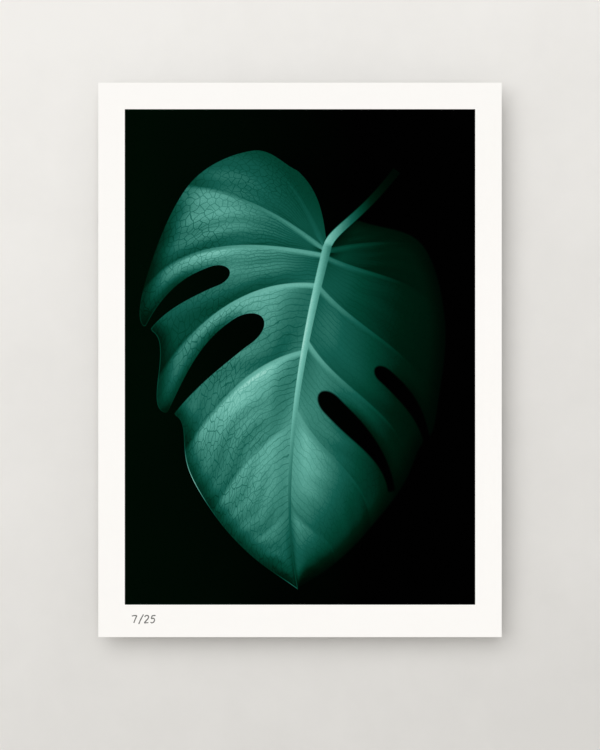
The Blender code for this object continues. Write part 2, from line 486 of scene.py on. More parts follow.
@dataclass(frozen=True)
class LeafHalf:
    """Half of the drawn leaf: a web of side veins from the midrib to the margin.

    A place on the half is (panel, reach): panel counts side veins from the stalk's notch to the tip,
    and reach is the share of the way from midrib to margin. Bulge and ripple are shares of the space
    between side veins, and light_shares go to the even, the shaded and the glossy light.
    """

    side: Half
    veins: tuple[SideVein, ...]
    splits: tuple[Split, ...]
    pools: Pools
    vein_pools: Pools
    rim_spots: Pools = ()
    midrib: Midrib = Midrib()
    curl: float = 0.66
    curl_mm: float = 17.0
    split_curl_mm: float = 11.0
    corner_mm: float = 2.5
    sharp: Pair = (1.0, 1.0)
    rows_per_panel: int = 32
    columns: int = 116
    bulge: float = 0.10
    ripple: float = 0.004
    dome_mm: float = 2.0
    sway_mm: float = 2.4
    sway_waves_mm: Pair = (21.0, 26.0)
    sway_start: Pair = (1.3, 0.4)
    vein_handle: float = 0.37
    round_end: float = 0.86
    hook_width: float = 0.26
    light: Triple = (-0.30, 0.62, 0.72)
    light_shares: Triple = (0.07, 0.85, 0.08)
    sheen_power: float = 26.0

    def headings(self, panel: np.ndarray) -> list[np.ndarray]:
        """Read the side veins' measures between the listed ones.

        Args:
            panel: side-vein count, of any shape.

        Returns:
            Root, end x, end y, leaving angle, arriving angle and strength, each of panel's shape.
        """
        listed = [(v.root, *v.end, math.radians(v.leave), math.radians(v.arrive), v.strength)
                  for v in self.veins]
        return list(np.moveaxis(through(np.array(listed), panel), -1, 0))

    def place(self, panel: np.ndarray, reach: np.ndarray) -> np.ndarray:
        """Find points of the half.

        Args:
            panel: side-vein count.
            reach: share of the way to the margin, of the same shape.

        Returns:
            The points, with one more axis for x and y.
        """
        root, x, y, leave, arrive, _ = self.headings(panel)
        out = np.stack([np.cos(leave), np.sin(leave)], axis=-1)
        home = np.stack([np.cos(arrive), np.sin(arrive)], axis=-1)
        start, end = self.midrib.point(root), np.stack([x, y], axis=-1)
        for split in self.splits:
            off = (panel - split.panel) / self.hook_width
            end = end - (split.hook * off * np.exp(0.5 - 0.5 * off ** 2))[..., None] * home
        handle = self.vein_handle * np.linalg.norm(end - start, axis=-1)[..., None]
        return bezier([start, start + handle * out, end - handle * home, end], reach)

    def split_outline(self, split: Split) -> np.ndarray:
        """Draw a split: a round inner end, then two sides that near each other.

        Args:
            split: the split.

        Returns:
            Its closed outline's points, down one side and back up the other.
        """
        share = np.linspace(0, 1, 80) ** 1.7
        reach = split.start + (split.stop - split.start) * share
        middle = self.place(split.panel + split.lean * (share - 0.5), reach)
        way = np.gradient(middle, share, axis=0)
        way /= np.linalg.norm(way, axis=1)[:, None]
        across = np.stack([-way[:, 1], way[:, 0]], axis=1)
        run = np.concatenate([[0], np.cumsum(np.linalg.norm(np.diff(middle, axis=0), axis=1))])
        rounding = np.clip(run / (self.round_end * split.width), 0, 1)
        body = split.width + (split.mouth - split.width) * smooth_step(0.25, 1.0, share)
        half = (0.5 * body * np.sqrt(1 - (1 - rounding) ** 2))[:, None]
        return np.vstack([middle + half * across, (middle - half * across)[::-1]])

    def fields(self) -> tuple[np.ndarray, Fields]:
        """Lay out the half's grid.

        Returns:
            Points of shape (rows, columns, 2), and what the ink reads at each point: panel, reach,
            along (mm from the midrib), spacing (mm between side veins), margin (mm to the nearest
            edge, negative in a split), vein (its strength), vein_light, rib (half-widths off the
            midrib), tone, sharp and rim.
        """
        last = len(self.veins) - 1
        rows = np.linspace(0, last, last * self.rows_per_panel + 1)
        columns = np.linspace(0, 1, self.columns) ** 1.12
        panel, reach = np.meshgrid(rows, columns, indexing="ij")
        points = self.place(panel, reach)
        by_row = np.gradient(points, rows, axis=0)
        by_column = np.gradient(points, columns, axis=1)
        length = np.maximum(np.linalg.norm(by_column, axis=-1), 1e-6)
        cross = by_row[..., 0] * by_column[..., 1] - by_row[..., 1] * by_column[..., 0]
        spacing = np.abs(cross) / length
        steps = np.linalg.norm(np.diff(points, axis=1), axis=-1)
        along = np.concatenate([np.zeros((len(rows), 1)), np.cumsum(steps, axis=1)], axis=1)
        flat = points.reshape(-1, 2)
        rim = line_distance(flat, np.vstack([points[0], points[1:, -1]])).reshape(panel.shape)
        *_, arrive, strength = self.headings(panel)
        droop = smooth_step(0.45, -0.45, np.sin(arrive))
        edge, shade = rim, 1 - self.curl * droop * (1 - smooth_step(0, self.curl_mm, rim))
        for split in self.splits:
            away = outside_distance(flat, self.split_outline(split)).reshape(panel.shape)
            edge = rounded_least(edge, away, self.corner_mm)
            before = smooth_step(0.06, -0.06, panel - split.panel)
            inner = smooth_step(split.start, split.start + 0.3, reach)
            near = 1 - smooth_step(0, self.split_curl_mm, away)
            shade = shade * (1 - (0.15 + 0.5 * before) * inner * near)
        rib = line_distance(flat, self.midrib.point(np.linspace(0, 1, 200))).reshape(panel.shape)
        joint, tip = self.midrib.corners[0][1], self.midrib.corners[-1][1]
        rib /= self.midrib.half_width(np.clip((joint - points[..., 1]) / (joint - tip), 0, 1))
        return points, {
            "panel": panel, "reach": reach, "along": along, "spacing": spacing, "margin": edge,
            "vein": strength, "vein_light": light_at(self.vein_pools, points),
            "rib": rib * self.side.value, "rim": light_at(self.rim_spots, points),
            "tone": shade * self.tone(points, panel, reach, spacing, strength),
            "sharp": self.sharp[0] + (self.sharp[1] - self.sharp[0]) * reach}

    def tone(self, points: np.ndarray, panel: np.ndarray, reach: np.ndarray, spacing: np.ndarray,
             strength: np.ndarray) -> np.ndarray:
        """Light the web as a quilted surface, pressed in along its side veins.

        Args:
            points: the grid's points.
            panel: side-vein count at each point.
            reach: share of the way to the margin.
            spacing: millimetres between side veins.
            strength: the side veins' strength.

        Returns:
            Tone from 0, black, to about 1.
        """
        swell = 1 - np.abs(2 * (panel % 1) - 1) ** 2.3
        height = self.bulge * strength * spacing * swell * smooth_step(0.0, 0.22, reach)
        waves = np.sin(2 * math.pi * (3 * panel + 0.35 * np.sin(7 * reach + 2 * panel)))
        height += self.ripple * spacing * waves * smooth_step(0.1, 0.5, reach)
        height += self.dome_mm * np.sin(math.pi * np.clip(reach, 0, 1) ** 0.9)
        height += self.sway_mm * np.sin(points / self.sway_waves_mm + self.sway_start).prod(axis=-1)
        surface = np.concatenate([points, height[..., None]], axis=-1)
        outward = np.gradient(surface, reach[0], axis=1)
        normal = np.cross(outward, np.gradient(surface, panel[:, 0], axis=0))
        normal *= np.sign(normal[..., 2:])
        normal /= np.maximum(np.linalg.norm(normal, axis=-1)[..., None], 1e-9)
        light = np.array(self.light) / np.linalg.norm(self.light)
        lit = np.clip(normal @ light, 0, 1)
        halfway = (light + (0, 0, 1)) / np.linalg.norm(light + (0, 0, 1))
        sheen = np.clip(normal @ halfway, 0, 1) ** self.sheen_power
        even, shaded, glossy = self.light_shares
        return light_at(self.pools, points) * (even + shaded * lit ** 1.3 + glossy * sheen)


@dataclass(frozen=True)
class PicturePlace:
    """Where the printed picture lies: its centre, and the y of the paper under it."""

    x: float
    y: float
    z: float

    def point(self, right: float, up: float, lift: float) -> Triple:
        """Turn millimetres from the picture's centre, and a lift in metres, into a point."""
        return (self.x + right * MM, self.y - lift, self.z + up * MM)


@dataclass(frozen=True)
class InkSlab:
    """A thin closed slab of ink, lift in front of the paper.

    A chart is where faces start on the bake map's square, and how far they spread over it.
    """

    name: str
    place: PicturePlace
    lift: float
    front_chart: Pair = (0.03, 0.965)
    hidden_chart: Pair = (0.004, 0.02)

    @staticmethod
    def grid(rows: int, columns: int, tipped: bool) -> tuple[list[tuple[int, ...]], list[int]]:
        """Number the faces and the border of a front that is laid out as a grid.

        Args:
            rows: rows of points.
            columns: points in a row.
            tipped: whether the last row is a single point.

        Returns:
            The faces, and the border's points in order.
        """
        body = rows - 1 if tipped else rows
        index = np.arange(body * columns).reshape(body, columns).tolist()
        faces = [face for near, far in zip(index, index[1:]) for face in zip(near, near[1:], far[1:], far)]
        end = index[-1][-2:0:-1]
        if tipped:
            faces += [(a, b, body * columns) for a, b in zip(index[-1], index[-1][1:])]
            end = [body * columns]
        right, left = [row[-1] for row in index[1:]], [row[0] for row in index[:0:-1]]
        return faces, [*index[0], *right, *end, *left]

    def make(self, points: np.ndarray, fields: Fields, tipped: bool = False) -> Mesh:
        """Make the slab.

        Args:
            points: the front's points, in millimetres from the picture's centre, as rows and columns.
            fields: name to one number for each point, which the slab's front keeps as attributes.
            tipped: whether the last row is a single point.

        Returns:
            The mesh, with a bake map that gives its front nearly the whole square.
        """
        rows, columns = points.shape[:2]
        faces, outline = self.grid(rows, columns, tipped)
        count = max(max(face) for face in faces) + 1
        flat = points.reshape(-1, 2)[:count]
        front = [self.place.point(x, y, self.lift) for x, y in flat]
        back = [self.place.point(*flat[index], 0.0) for index in outline]
        ring = list(range(count, count + len(outline)))
        turn, ring_turn = outline[1:] + outline[:1], ring[1:] + ring[:1]
        sides = [(a, b, d, c) for a, b, c, d in zip(outline, turn, ring, ring_turn)]
        mesh = bpy.data.meshes.new(self.name)
        mesh.from_pydata(front + back, [], faces + sides + [tuple(ring)])
        low, high = flat.min(axis=0), flat.max(axis=0)
        start, width = self.front_chart
        spread = start + width * (np.vstack([flat, flat[outline]]) - low) / (high - low)
        loops = np.empty(len(mesh.loops), np.int32)
        mesh.loops.foreach_get("vertex_index", loops)
        chart = spread[loops]
        first_hidden = mesh.polygons[len(faces)].loop_start
        corner, share = self.hidden_chart
        chart[first_hidden:] = corner + share * (chart[first_hidden:] - start)
        layer = mesh.uv_layers.new(name="OFBake")
        layer.data.foreach_set("uv", chart.astype(np.float32).ravel())
        tidy = bmesh.new()
        tidy.from_mesh(mesh)
        bmesh.ops.recalc_face_normals(tidy, faces=tidy.faces)
        tidy.to_mesh(mesh)
        tidy.free()
        for name, values in fields.items():
            column = np.zeros(len(mesh.vertices), np.float32)
            column[:count] = values.ravel()[:count]
            mesh.attributes.new(name, "FLOAT", "POINT").data.foreach_set("value", column)
        return mesh


# ---------------------------------------------------------------- finishes


MATH = "ShaderNodeMath"
MIX = "ShaderNodeMix"
NOISE = "ShaderNodeTexNoise"
RANGE = "ShaderNodeMapRange"
VECTOR_MATH = "ShaderNodeVectorMath"
VORONOI = "ShaderNodeTexVoronoi"
XYZ = "ShaderNodeCombineXYZ"
SMOOTH = {"interpolation_type": "SMOOTHSTEP"}


class Grain(Enum):
    """What a pattern is made of, as its node and the output to read."""

    CLOUDS = (NOISE, "Fac")
    CELLS = (VORONOI, "Distance")


@dataclass(frozen=True)
class Pattern:
    """A pattern of a size in millimetres, read between two levels and spread between two values."""

    mm: float
    detail: float = 2.0
    crumble: float = 0.5
    levels: Pair = (0.0, 1.0)
    values: Pair = (0.0, 1.0)
    stretch: Triple = (1.0, 1.0, 1.0)
    grain: Grain = Grain.CLOUDS

    def draw(self, node: NodeMaker, where: Socket) -> Socket:
        """Draw the pattern.

        Args:
            node: adds a node to the material's tree.
            where: object coordinates, which are the frame's metres.

        Returns:
            The pattern's value.
        """
        if self.stretch != (1.0, 1.0, 1.0):
            where = node("ShaderNodeMapping", {"Vector": where, "Scale": self.stretch})
        kind, out = self.grain.value
        drawn = node(kind, {"Vector": where, "Scale": 1 / (self.mm * MM), "Detail": self.detail,
                            "Roughness": self.crumble}, out)
        if self.levels + self.values == (0.0, 1.0, 0.0, 1.0):
            return drawn
        return node(RANGE, {"Value": drawn, "From Min": self.levels[0], "From Max": self.levels[1],
                            "To Min": self.values[0], "To Max": self.values[1]})


@dataclass(frozen=True, kw_only=True)
class Finish:
    """A finish that goes from a low tint to a high one by a pattern, or keeps to the low one.

    Bloom's patterns add up to its roughness, which is even without them. Relief's pattern stands out
    by relief_mm, of which relief_share shows.
    """

    name: str
    low: str
    high: str = ""
    tint: Pattern | None = None
    bloom: tuple[Pattern, ...] = ()
    relief: Pattern | None = None
    relief_mm: float = 0.0
    relief_share: float = 0.0
    roughness: float = 0.5
    metallic: float = 0.0
    ior: float = 1.5
    specular: float = 0.5

    def share(self, node: NodeMaker, where: Socket) -> Socket:
        """Draw the share of the way from the low tint to the high one, at object coordinates."""
        return self.tint.draw(node, where)

    def colour(self, node: NodeMaker, where: Socket) -> Socket:
        """Draw the colour, at object coordinates."""
        tints = {6: srgb(self.low), 7: srgb(self.high)}
        return node(MIX, {0: self.share(node, where), **tints}, 2, data_type="RGBA")

    def make(self) -> Material:
        """Make the material.

        Returns:
            A material whose Principled shader follows the patterns.
        """
        material = bpy.data.materials.new(self.name)
        material.use_nodes = True
        tree = material.node_tree
        node = partial(add_node, tree)
        where = node("ShaderNodeTexCoord", out="Object")
        inputs = tree.nodes["Principled BSDF"].inputs
        fixed = {"Base Color": srgb(self.low), "Roughness": self.roughness, "Metallic": self.metallic,
                 "IOR": self.ior, "Specular IOR Level": self.specular}
        for name, value in fixed.items():
            inputs[name].default_value = value
        if self.tint is not None:
            tree.links.new(self.colour(node, where), inputs["Base Color"])
        rough = None
        for pattern in self.bloom:
            part = pattern.draw(node, where)
            rough = part if rough is None else node(MATH, {0: rough, 1: part}, operation="ADD")
        if rough is not None:
            tree.links.new(rough, inputs["Roughness"])
        if self.relief is not None:
            height = self.relief.draw(node, where)
            raised = node("ShaderNodeBump", {"Height": height, "Distance": self.relief_mm * MM,
                                             "Strength": self.relief_share})
            tree.links.new(raised, inputs["Normal"])
        return material


@dataclass(frozen=True, kw_only=True)
class CottonPaper(Finish):
    """Cotton rag paper, pressed between felts: a dead matt warm white with a faint felt tooth."""

    name: str = "cotton_rag_paper"
    low: str = "f2f0ee"
    high: str = "f0eeeb"
    tint: Pattern = Pattern(111.11, detail=3.0)
    relief: Pattern = Pattern(1.6, detail=4.0)
    relief_mm: float = 0.03
    relief_share: float = 0.8
    roughness: float = 0.92
    ior: float = 1.45
    specular: float = 0.05


@dataclass(frozen=True, kw_only=True)
class GroundInk(Finish):
    """Pigment ink laid solid on rag paper: near black and matt, with a breath of green to the left."""

    place: PicturePlace
    name: str = "black_pigment_ink"
    low: str = "000802"
    high: str = "000000"
    tint: Pattern = Pattern(90.91, detail=1.0, values=(0.0, 0.08))
    green_until: Pair = (-0.10, 0.09)
    roughness: float = 0.75
    ior: float = 1.45
    specular: float = 0.005

    def share(self, node: NodeMaker, where: Socket) -> Socket:
        """Let the green die away from left to right, along a cloudy line.

        Args:
            node: adds a node to the material's tree.
            where: object coordinates.

        Returns:
            The share of pure black.
        """
        x = node("ShaderNodeSeparateXYZ", {0: where}, "X")
        drift = node(MATH, {0: self.tint.draw(node, where), 1: x}, operation="ADD")
        start, end = (self.place.x + edge for edge in self.green_until)
        return node(RANGE, {"Value": drift, "From Min": start, "From Max": end})


@dataclass(frozen=True, kw_only=True)
class LeafInk(GroundInk):
    """Pigment inks printed as a blue-green duotone: near-black greens, deep teal and pale jade.

    The tone comes from the drawn leaf's own fields. Finer veins are drawn here: side veins, lesser
    veins between them and the net of veinlets in cells a few millimetres wide.
    """

    READ = ("panel", "reach", "along", "spacing", "margin", "vein", "vein_light", "rib", "tone", "sharp",
            "rim")
    name: str = "leaf_duotone_ink"
    stops: tuple = ((0.0, "000502"), (0.08, "001a0e"), (0.20, "033b2c"), (0.36, "13564a"),
                    (0.52, "35786b"), (0.70, "589d90"), (0.86, "74b8ab"), (1.0, "a6dace"))
    grain: Pattern = Pattern(1.1111, values=(0.93, 1.07))
    wobble: Pattern = Pattern(16.129, values=(0.0, 2.2))
    patches: Pattern = Pattern(45.455, detail=1.0, levels=(0.3, 0.7), values=(0.45, 1.0))
    warp_mm: float = 9.0909
    vein_mm: Pair = (2.2, 0.35)
    vein_tone: float = 0.86
    rib_edge: Pair = (1.12, 0.80)
    lip_mm: Pair = (1.0, 0.2)
    lesser_veins: float = 11.0
    lesser_line_mm: Pair = (0.60, 0.08)
    lesser_pitch_mm: Pair = (0.6, 1.8)
    lesser_weight: float = 0.34
    cell_mm: float = 3.6
    cell_stretch: float = 1.5
    soft_edge_mm: Pair = (3.4, 0.3)

    def colour(self, node: NodeMaker, where: Socket) -> Socket:
        """Ink the leaf, and let it fade into the ground's black at its edges.

        Args:
            node: adds a node to the material's tree.
            where: object coordinates.

        Returns:
            The colour.
        """
        read = {name: node("ShaderNodeAttribute", out="Fac", attribute_name=name) for name in self.READ}
        tone = node(MATH, {0: read["tone"], 1: self.net(node, read, where)}, operation="MULTIPLY")
        vein_tone = node(MATH, {0: read["vein_light"], 1: self.vein_tone}, operation="MULTIPLY")
        tone = node(MIX, {0: self.veins(node, read), 2: tone, 3: vein_tone}, 0)

        beside = node(MATH, {0: read["rib"]}, operation="ABSOLUTE")
        outer, inner = self.rib_edge
        rib = node(RANGE, {"Value": beside, "From Min": outer, "From Max": inner}, **SMOOTH)
        slope = node(RANGE, {"Value": read["rib"], "From Min": -1.0, "To Min": 1.0, "To Max": 0.82},
                     **SMOOTH)
        rib_tone = node(MATH, {0: read["vein_light"], 1: slope}, operation="MULTIPLY")
        tone = node(MIX, {0: rib, 2: tone, 3: rib_tone}, 0)

        inner, outer = self.lip_mm
        lip = node(RANGE, {"Value": read["margin"], "From Min": inner, "From Max": outer}, **SMOOTH)
        tone = node(MATH, {0: lip, 1: read["rim"], 2: tone}, operation="MULTIPLY_ADD")
        tone = node(MATH, {0: tone, 1: self.grain.draw(node, where)}, operation="MULTIPLY")
        colour = node("ShaderNodeValToRGB", {0: tone})
        elements = colour.node.color_ramp.elements
        elements.remove(elements[1])
        elements[0].color = srgb(self.stops[0][1])
        for position, code in self.stops[1:]:
            elements.new(position).color = srgb(code)

        blurred, crisp = self.soft_edge_mm
        soft = node(RANGE, {"Value": read["sharp"], "To Min": blurred, "To Max": crisp})
        edge = node(MATH, {0: read["margin"], 1: soft}, operation="DIVIDE")
        edge = node(RANGE, {"Value": edge}, **SMOOTH)
        return node(MIX, {0: edge, 6: super().colour(node, where), 7: colour}, 2, data_type="RGBA")

    def net(self, node: NodeMaker, read: dict[str, Socket], where: Socket) -> Socket:
        """Draw the lesser veins and the net of veinlets.

        Args:
            node: adds a node to the material's tree.
            read: the leaf's fields by name.
            where: object coordinates.

        Returns:
            What the web's tone is multiplied by, 1 between the veinlets.
        """
        across = node(MATH, {0: read["panel"], 1: self.lesser_veins}, operation="MULTIPLY")
        lesser = node(MATH, {0: across, 1: self.wobble.draw(node, where)}, operation="ADD")
        lesser = node(MATH, {0: lesser, 1: 0.5}, operation="PINGPONG")
        pitch = node(MATH, {0: read["spacing"], 1: self.lesser_veins}, operation="DIVIDE")
        lesser = node(MATH, {0: lesser, 1: pitch}, operation="MULTIPLY")
        faint, full = self.lesser_line_mm
        lesser = node(RANGE, {"Value": lesser, "From Min": faint, "From Max": full}, **SMOOTH)
        close, open_pitch = self.lesser_pitch_mm
        room = node(RANGE, {"Value": pitch, "From Min": close, "From Max": open_pitch,
                            "To Max": self.lesser_weight})
        inner = node(RANGE, {"Value": read["reach"], "From Min": 0.85, "From Max": 0.35})
        for share in (room, inner):
            lesser = node(MATH, {0: lesser, 1: share}, operation="MULTIPLY")

        warp = node(NOISE, {"Vector": where, "Scale": 1 / (self.warp_mm * MM), "Detail": 1.0}, "Color")
        length = self.cell_mm * self.cell_stretch
        outward = node(MATH, {0: read["along"], 1: length}, operation="DIVIDE")
        web = node(XYZ, {0: across, 1: outward})
        web = node(VECTOR_MATH, {0: warp, 1: (1.0, 1.0, 0.0), 2: web}, operation="MULTIPLY_ADD")
        lines = []
        for scale, wide, fine, weight in ((1.0, 0.10, 0.015, 1.0), (2.9, 0.12, 0.02, 0.30)):
            cell = node(VORONOI, {"Vector": web, "Scale": scale}, "Distance", feature="DISTANCE_TO_EDGE",
                        voronoi_dimensions="2D")
            lines.append(node(RANGE, {"Value": cell, "From Min": wide, "From Max": fine, "To Max": weight},
                              **SMOOTH))
        net = node(MATH, {0: lines[0], 1: lines[1]}, operation="MAXIMUM")
        outer = node(RANGE, {"Value": read["reach"], "From Min": 0.15, "From Max": 0.6, "To Min": 0.10,
                             "To Max": 0.40})
        net = node(MATH, {0: net, 1: outer}, operation="MULTIPLY")
        drawn = node(MATH, {0: net, 1: lesser}, operation="MAXIMUM")
        drawn = node(MATH, {0: drawn, 1: self.patches.draw(node, where)}, operation="MULTIPLY")
        strength = node(MATH, {0: read["sharp"], 1: -1.0}, operation="MULTIPLY")
        return node(MATH, {0: drawn, 1: strength, 2: 1.0}, operation="MULTIPLY_ADD")

    def veins(self, node: NodeMaker, read: dict[str, Socket]) -> Socket:
        """Draw the side veins, crisp on the side that faces the light and melting into the web beyond.

        Args:
            node: adds a node to the material's tree.
            read: the leaf's fields by name.

        Returns:
            The veins' share in the tone.
        """
        off = node(MATH, {0: read["panel"], 1: 0.5}, operation="ADD")
        off = node(MATH, {0: off}, operation="FRACT")
        off = node(MATH, {0: off, 1: -0.5}, operation="ADD")
        off = node(MATH, {0: off, 1: read["spacing"]}, operation="MULTIPLY")
        at_rib, at_margin = self.vein_mm
        wide = node(RANGE, {"Value": read["reach"], "To Min": at_rib, "To Max": at_margin})
        off = node(MATH, {0: off, 1: wide}, operation="DIVIDE")
        vein = node(RANGE, {"Value": off, "From Min": -1.0, "From Max": -0.35}, **SMOOTH)
        melting = node(RANGE, {"Value": off, "From Min": 2.4, "From Max": 0.2}, **SMOOTH)
        past = node(RANGE, {"Value": read["panel"], "From Min": 0.4, "From Max": 0.6})
        thin = node(RANGE, {"Value": read["reach"], "From Min": 0.5, "From Max": 0.98, "To Min": 0.95,
                            "To Max": 0.0}, **SMOOTH)
        for share in (melting, past, read["vein"], thin):
            vein = node(MATH, {0: vein, 1: share}, operation="MULTIPLY")
        return vein


@dataclass(frozen=True, kw_only=True)
class Graphite(Finish):
    """A soft pencil's mark: grey, broken where the point skips over the paper's tooth."""

    name: str = "pencil_graphite"
    low: str = "3c3c3c"
    high: str = "858380"
    tint: Pattern = Pattern(0.66667, levels=(0.42, 0.66))
    roughness: float = 0.55
    ior: float = 1.45


@dataclass(frozen=True, kw_only=True)
class BoardLacquer(Finish):
    """Polyester coil coating on aluminium: satin, with the faint orange peel of a roller."""

    name: str = "board_lacquer"
    low: str = "e9e9e6"
    high: str = "e3e4e2"
    tint: Pattern = Pattern(71.429, detail=3.0)
    bloom: tuple[Pattern, ...] = (Pattern(45.455, detail=6.0, levels=(0.35, 0.65), values=(0.38, 0.50)),)
    relief: Pattern = Pattern(1.4)
    relief_mm: float = 0.02
    relief_share: float = 0.6


@dataclass(frozen=True, kw_only=True)
class SawnCore(Finish):
    """Polyethylene core, cut by a router: waxy dark grey with upright tooth marks on its edges."""

    name: str = "sawn_polyethylene"
    low: str = "303233"
    high: str = "48494a"
    tint: Pattern = Pattern(0.9, stretch=(1.0, 0.08, 1.0))
    relief: Pattern = tint
    relief_mm: float = 0.1
    relief_share: float = 0.7
    roughness: float = 0.62
    ior: float = 1.51


@dataclass(frozen=True, kw_only=True)
class FoamRubber(Finish):
    """Closed-cell foam tape: soft black with an even skin of burst cells on its cut sides."""

    name: str = "closed_cell_foam"
    low: str = "1b1c1d"
    high: str = "303132"
    tint: Pattern = Pattern(0.45, detail=0.0, grain=Grain.CELLS)
    relief: Pattern = tint
    relief_mm: float = 0.1
    relief_share: float = 0.8
    roughness: float = 0.88


class Run(Enum):
    """The way a rail runs, with how its die lines are stretched along X, Y and Z."""

    LEVEL = (0.012, 1.0, 1.0)
    UPRIGHT = (1.0, 1.0, 0.012)


@dataclass(frozen=True, kw_only=True)
class MillAluminium(Finish):
    """Extruded aluminium as it leaves the die: bright, with fine lines along its length."""

    low: str = "b9bbbd"
    high: str = "d6d8da"
    relief_mm: float = 0.03
    relief_share: float = 0.5
    metallic: float = 1.0

    @classmethod
    def along(cls, run: Run) -> MillAluminium:
        """Draw the die's lines along a rail, with the cloudy marks of handling over them.

        Args:
            run: the way the rail runs.

        Returns:
            The finish.
        """
        lines = Pattern(1.1, detail=3.0, stretch=run.value)
        fine = Pattern(0.33333, stretch=run.value, values=(0.28, 0.44))
        handling = Pattern(22.222, detail=4.0, values=(0.0, 0.12))
        name = f"mill_aluminium_{run.name.lower()}"
        return cls(name=name, tint=lines, bloom=(fine, handling), relief=lines)


@dataclass(frozen=True, kw_only=True)
class MouldedNylon(Finish):
    """Glass-filled nylon: near-black, with the dull grain of a spark-eroded mould."""

    name: str = "moulded_nylon"
    low: str = "202224"
    high: str = "2d2f31"
    tint: Pattern = Pattern(0.4)
    relief: Pattern = tint
    relief_mm: float = 0.03
    relief_share: float = 0.6
    ior: float = 1.53


@dataclass(frozen=True, kw_only=True)
class ZincPlate(Finish):
    """Bright zinc plate on steel: cool grey, with a cloudy passivated bloom."""

    name: str = "zinc_plate"
    low: str = "9ea3a5"
    high: str = "bcc0c1"
    tint: Pattern = Pattern(1.1111, detail=3.0)
    bloom: tuple[Pattern, ...] = (Pattern(1.1111, detail=3.0, values=(0.24, 0.42)),)
    metallic: float = 1.0


@dataclass(frozen=True, kw_only=True)
class PadRubber(Finish):
    """Moulded rubber: matt black with a little wall dust on it."""

    name: str = "moulded_rubber"
    low: str = "1d1d1e"
    high: str = "3a3a39"
    tint: Pattern = Pattern(2.381, detail=5.0, crumble=0.7, levels=(0.5, 0.8))
    relief: Pattern = Pattern(0.38462)
    relief_mm: float = 0.02
    relief_share: float = 0.5
    roughness: float = 0.75
    ior: float = 1.52


@dataclass(frozen=True, kw_only=True)
class WallPlaster(Finish):
    """Trowelled plaster: matt and cloudy, with painted shade that darkens it a little to the right and
    toward the floor.
    """

    centre: Vector
    name: str = "wall_plaster"
    low: str = "e7e5e2"
    high: str = "cfcdca"
    tint: Pattern = Pattern(125.0, detail=6.0, crumble=0.62, values=(0.0, 0.42))
    trowel: Pattern = Pattern(18.182, detail=5.0, values=(0.0, 0.16))
    # painted shade: the direction in which the wall's tint darkens, to the right and down, as the light
    # falls off
    painted_shade_slope: Triple = (0.55, 0.0, -1.25)
    share_at_centre: float = 0.47
    roughness: float = 0.95
    specular: float = 0.1

    def share(self, node: NodeMaker, where: Socket) -> Socket:
        """Add the clouds and the trowel's marks to an even fall of light, which is painted shade.

        Args:
            node: adds a node to the material's tree.
            where: object coordinates.

        Returns:
            The share of the darker tint.
        """
        usual = (self.tint.values[1] + self.trowel.values[1]) / 2
        level = self.share_at_centre - usual - Vector(self.painted_shade_slope).dot(self.centre)
        # painted shade: a straight ramp from light at the top left to darker at the bottom right
        share = node(VECTOR_MATH, {0: where, 1: self.painted_shade_slope}, "Value", operation="DOT_PRODUCT")
        for part in (self.tint.draw(node, where), self.trowel.draw(node, where), level):
            share = node(MATH, {0: share, 1: part}, operation="ADD")
        return share


# ---------------------------------------------------------------- the sheet and its picture


LEFT_HALF = LeafHalf(
    Half.LEFT,
    veins=(
        SideVein(0.000, (-2.0, 158.0), 96, 138, 0.0),
        SideVein(0.008, (-40.0, 175.0), 116, 148, 0.15),
        SideVein(0.016, (-95.0, 145.0), 141, 172, 0.8),
        SideVein(0.036, (-130.0, 60.0), 168, 234),
        SideVein(0.150, (-119.0, -16.0), 173, 238),
        SideVein(0.360, (-100.0, -84.0), 192, 236, 0.85),
        SideVein(0.560, (-74.0, -132.0), 208, 240, 0.35),
        SideVein(0.780, (-42.0, -168.0), 226, 252, 0.2),
        SideVein(1.000, (-2.0, -197.0), 262, 282, 0.0),
    ),
    splits=(
        Split(3.47, 0.47, 1.12, 17.0, 2.0, -0.08, 10.0),
        Split(4.45, 0.27, 1.12, 25.0, 3.0, 0.06, 11.0),
    ),
    pools=(
        LightPool(1.12, (-30.0, -52.0), (104.0, 150.0)),
        LightPool(0.66, (-76.0, 116.0), (70.0, 58.0)),
    ),
    vein_pools=(LightPool(0.95, (-10.0, 24.0), (130.0, 160.0)),),
    rim_spots=(
        LightPool(0.85, (-94.0, -108.0), (20.0, 26.0)),
        LightPool(0.42, (-8.0, -195.0), (18.0, 10.0)),
        LightPool(0.20, (-126.0, 0.0), (16.0, 40.0)),
    ),
)
RIGHT_HALF = LeafHalf(
    Half.RIGHT,
    veins=(
        SideVein(0.000, (52.0, 116.0), 62, -14, 0.0),
        SideVein(0.016, (104.0, 96.0), 14, -4, 0.35),
        SideVein(0.040, (124.0, 30.0), -26, -64, 0.8),
        SideVein(0.150, (116.0, -44.0), -50, -74, 0.9),
        SideVein(0.325, (94.0, -100.0), -60, -84, 0.9),
        SideVein(0.520, (60.0, -146.0), -66, -92, 0.9),
        SideVein(0.760, (30.0, -176.0), -74, -94, 0.6),
        SideVein(1.000, (-2.0, -197.0), -80, -78, 0.0),
    ),
    splits=(
        Split(3.46, 0.48, 1.12, 11.0, 2.0, 0.0, 5.0),
        Split(4.44, 0.19, 0.93, 16.0, 4.0, 0.06, 0.0),
    ),
    pools=(
        LightPool(0.90, (-6.0, -96.0), (60.0, 104.0)),
        LightPool(0.34, (26.0, 34.0), (38.0, 74.0)),
        LightPool(0.08, (86.0, 40.0), (60.0, 110.0)),
    ),
    vein_pools=(LightPool(0.86, (0.0, 10.0), (60.0, 170.0)),),
    curl=0.9,
    sharp=(0.5, 0.4),
    dome_mm=8.0,
)
